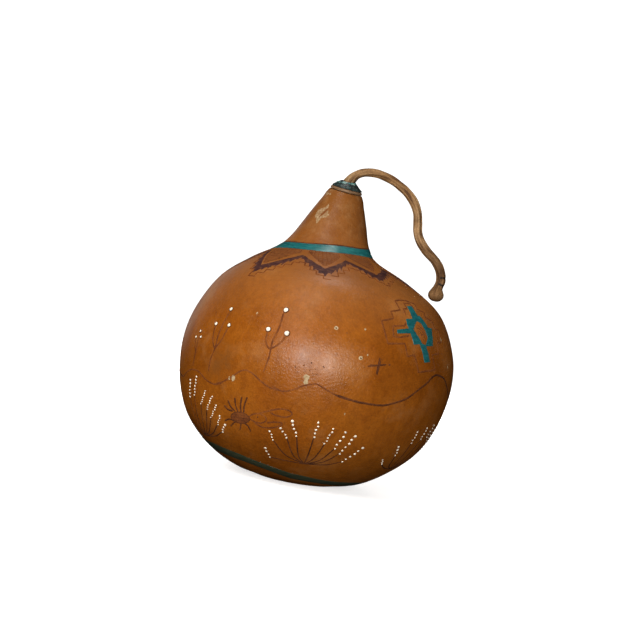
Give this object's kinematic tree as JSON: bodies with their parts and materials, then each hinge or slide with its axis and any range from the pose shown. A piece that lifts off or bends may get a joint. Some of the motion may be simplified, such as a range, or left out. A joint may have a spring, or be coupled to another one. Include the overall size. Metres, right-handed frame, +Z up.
{
  "type": "gourd rattle",
  "caption": "Decorated gourd rattle: hollow round body with a short neck, plugged mouth, curled woody stem as the handle, and loose seeds inside.",
  "frame": {"origin": "centre of the flat foot, at the surface the rattle stands on", "axes": "+Z up through the neck, -Y the front with the main picture, +X the side the stem curls over to"},
  "size_m": [0.18, 0.18, 0.2101],
  "materials": {
    "gourd_shell": "dyed orange-brown gourd rind, mottled, with a satin varnish",
    "neck_cap": "turned wood plug, dyed like the gourd, satin varnish",
    "crown_inlay": "dark resin with crushed turquoise chips, polished",
    "stem": "dry woody stem, ribbed and streaked, dull",
    "seed": "dry pale gourd seed, dull",
    "turquoise_paint": "satin turquoise paint, brushed on",
    "green_paint": "satin dark green paint, brushed on",
    "purple_stain": "dark purple-brown stain, satin",
    "white_paint": "thick cream-white paint dots",
    "burnt_line": "line burnt into the rind with a hot tool, dull dark brown"
  },
  "bodies": {
    "rattle": {"gourd_shell": "gourd_shell", "neck_cap": "neck_cap", "crown_inlay": "crown_inlay", "stem": "stem"},
    "seed_01_body": {"seed_01": "seed"},
    "seed_02_body": {"seed_02": "seed"},
    "seed_03_body": {"seed_03": "seed"},
    "seed_04_body": {"seed_04": "seed"},
    "seed_05_body": {"seed_05": "seed"},
    "seed_06_body": {"seed_06": "seed"},
    "seed_07_body": {"seed_07": "seed"},
    "seed_08_body": {"seed_08": "seed"},
    "seed_09_body": {"seed_09": "seed"},
    "seed_10_body": {"seed_10": "seed"},
    "seed_11_body": {"seed_11": "seed"},
    "seed_12_body": {"seed_12": "seed"},
    "seed_13_body": {"seed_13": "seed"},
    "seed_14_body": {"seed_14": "seed"},
    "seed_15_body": {"seed_15": "seed"},
    "seed_16_body": {"seed_16": "seed"},
    "seed_17_body": {"seed_17": "seed"},
    "seed_18_body": {"seed_18": "seed"},
    "seed_19_body": {"seed_19": "seed"},
    "seed_20_body": {"seed_20": "seed"},
    "seed_21_body": {"seed_21": "seed"},
    "seed_22_body": {"seed_22": "seed"},
    "seed_23_body": {"seed_23": "seed"},
    "seed_24_body": {"seed_24": "seed"}
  },
  "joints": [
    {"name": "seed_01_hop", "type": "slide", "parent": "rattle", "child": "seed_01_body", "axis": [0, 0, 1], "range_m": [0, 0.164]},
    {"name": "seed_02_hop", "type": "slide", "parent": "rattle", "child": "seed_02_body", "axis": [0, 0, 1], "range_m": [0, 0.159]},
    {"name": "seed_03_hop", "type": "slide", "parent": "rattle", "child": "seed_03_body", "axis": [0, 0, 1], "range_m": [0, 0.161]},
    {"name": "seed_04_hop", "type": "slide", "parent": "rattle", "child": "seed_04_body", "axis": [0, 0, 1], "range_m": [0, 0.142]},
    {"name": "seed_05_hop", "type": "slide", "parent": "rattle", "child": "seed_05_body", "axis": [0, 0, 1], "range_m": [0, 0.148]},
    {"name": "seed_06_hop", "type": "slide", "parent": "rattle", "child": "seed_06_body", "axis": [0, 0, 1], "range_m": [0, 0.138]},
    {"name": "seed_07_hop", "type": "slide", "parent": "rattle", "child": "seed_07_body", "axis": [0, 0, 1], "range_m": [0, 0.14]},
    {"name": "seed_08_hop", "type": "slide", "parent": "rattle", "child": "seed_08_body", "axis": [0, 0, 1], "range_m": [0, 0.141]},
    {"name": "seed_09_hop", "type": "slide", "parent": "rattle", "child": "seed_09_body", "axis": [0, 0, 1], "range_m": [0, 0.133]},
    {"name": "seed_10_hop", "type": "slide", "parent": "rattle", "child": "seed_10_body", "axis": [0, 0, 1], "range_m": [0, 0.136]},
    {"name": "seed_11_hop", "type": "slide", "parent": "rattle", "child": "seed_11_body", "axis": [0, 0, 1], "range_m": [0, 0.134]},
    {"name": "seed_12_hop", "type": "slide", "parent": "rattle", "child": "seed_12_body", "axis": [0, 0, 1], "range_m": [0, 0.133]},
    {"name": "seed_13_hop", "type": "slide", "parent": "rattle", "child": "seed_13_body", "axis": [0, 0, 1], "range_m": [0, 0.133]},
    {"name": "seed_14_hop", "type": "slide", "parent": "rattle", "child": "seed_14_body", "axis": [0, 0, 1], "range_m": [0, 0.128]},
    {"name": "seed_15_hop", "type": "slide", "parent": "rattle", "child": "seed_15_body", "axis": [0, 0, 1], "range_m": [0, 0.13]},
    {"name": "seed_16_hop", "type": "slide", "parent": "rattle", "child": "seed_16_body", "axis": [0, 0, 1], "range_m": [0, 0.131]},
    {"name": "seed_17_hop", "type": "slide", "parent": "rattle", "child": "seed_17_body", "axis": [0, 0, 1], "range_m": [0, 0.126]},
    {"name": "seed_18_hop", "type": "slide", "parent": "rattle", "child": "seed_18_body", "axis": [0, 0, 1], "range_m": [0, 0.127]},
    {"name": "seed_19_hop", "type": "slide", "parent": "rattle", "child": "seed_19_body", "axis": [0, 0, 1], "range_m": [0, 0.124]},
    {"name": "seed_20_hop", "type": "slide", "parent": "rattle", "child": "seed_20_body", "axis": [0, 0, 1], "range_m": [0, 0.126]},
    {"name": "seed_21_hop", "type": "slide", "parent": "rattle", "child": "seed_21_body", "axis": [0, 0, 1], "range_m": [0, 0.125]},
    {"name": "seed_22_hop", "type": "slide", "parent": "rattle", "child": "seed_22_body", "axis": [0, 0, 1], "range_m": [0, 0.12]},
    {"name": "seed_23_hop", "type": "slide", "parent": "rattle", "child": "seed_23_body", "axis": [0, 0, 1], "range_m": [0, 0.121]},
    {"name": "seed_24_hop", "type": "slide", "parent": "rattle", "child": "seed_24_body", "axis": [0, 0, 1], "range_m": [0, 0.122]}
  ]
}
